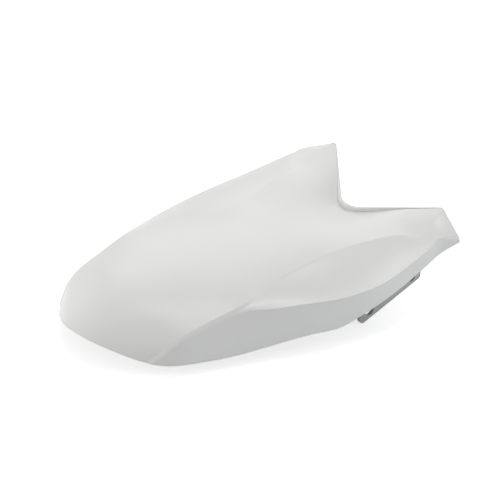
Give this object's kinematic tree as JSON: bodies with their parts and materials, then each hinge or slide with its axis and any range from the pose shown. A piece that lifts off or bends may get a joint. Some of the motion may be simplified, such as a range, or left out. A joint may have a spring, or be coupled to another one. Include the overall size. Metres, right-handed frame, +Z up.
{
  "type": "front mudguard",
  "caption": "Front mudguard for a small motorbike: a smooth moulded shell with a pointed nose, faceted flanks and a forked tail, on bolt-through steel fork plates.",
  "frame": {"origin": "middle of the whole part's footprint, at the level of the fork plates' lower corners", "axes": "+X to the rider's left, +Y to the rear, +Z up"},
  "size_m": [0.2172, 0.3525, 0.0782],
  "materials": {
    "shell_plastic": "semi-gloss white moulded plastic",
    "plate_steel": "grey coated sheet steel",
    "fixing_steel": "zinc plated steel"
  },
  "bodies": {
    "root": {"mudguard_shell": "shell_plastic", "fork_plate_left": "plate_steel", "fork_plate_right": "plate_steel", "screw_front_left": "fixing_steel", "screw_rear_left": "fixing_steel", "screw_front_right": "fixing_steel", "screw_rear_right": "fixing_steel"}
  },
  "joints": []
}
